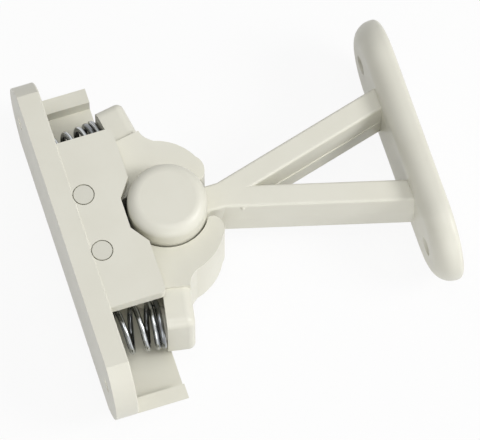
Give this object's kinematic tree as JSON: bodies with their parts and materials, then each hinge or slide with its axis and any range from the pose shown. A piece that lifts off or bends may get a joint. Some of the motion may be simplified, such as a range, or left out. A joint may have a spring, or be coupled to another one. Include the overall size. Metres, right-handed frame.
{
  "type": "spring door retainer",
  "caption": "Wall catch with sprung jaws that grip the round knob of a V-armed door striker and hold the door open",
  "frame": {"origin": "centre of the catch's back face, which lies on the wall", "axes": "+X out of the wall towards the door, +Y along the catch plate, +Z along the jaw pins, up"},
  "size_m": [0.1169, 0.1126, 0.04],
  "materials": {
    "ivory_plastic": "ivory moulded plastic, satin",
    "pin_plastic": "ivory plastic rod, cut and face-ground",
    "spring_wire": "bright plated spring wire"
  },
  "bodies": {
    "catch": {"catch_housing": "ivory_plastic", "upper_pin": "pin_plastic", "lower_pin": "pin_plastic", "upper_spring": "spring_wire", "lower_spring": "spring_wire"},
    "upper_jaw": {"upper_jaw": "ivory_plastic"},
    "lower_jaw": {"lower_jaw": "ivory_plastic"},
    "striker": {"striker": "ivory_plastic"}
  },
  "joints": [
    {"name": "striker_pull", "type": "slide", "parent": "catch", "child": "striker", "axis": [1, 0, 0], "range_m": [0, 0.008]},
    {"name": "upper_jaw_pivot", "type": "hinge", "parent": "catch", "child": "upper_jaw", "pos_m": [0.01025, 0.0097, 0], "axis": [0, 0, 1], "range_deg": [0, 15], "stiffness_Nm_per_rad": 1.8, "springref_deg": -10.89, "deforming": ["upper_spring"]},
    {"name": "lower_jaw_pivot", "type": "hinge", "parent": "catch", "child": "lower_jaw", "pos_m": [0.01025, -0.0097, 0], "axis": [0, 0, 1], "range_deg": [-15, 0], "stiffness_Nm_per_rad": 1.8, "springref_deg": 10.89, "deforming": ["lower_spring"]}
  ],
  "couplings": [
    {"joint": "upper_jaw_pivot", "follows": "striker_pull", "rad_per_m": 32},
    {"joint": "lower_jaw_pivot", "follows": "striker_pull", "rad_per_m": -32}
  ]
}
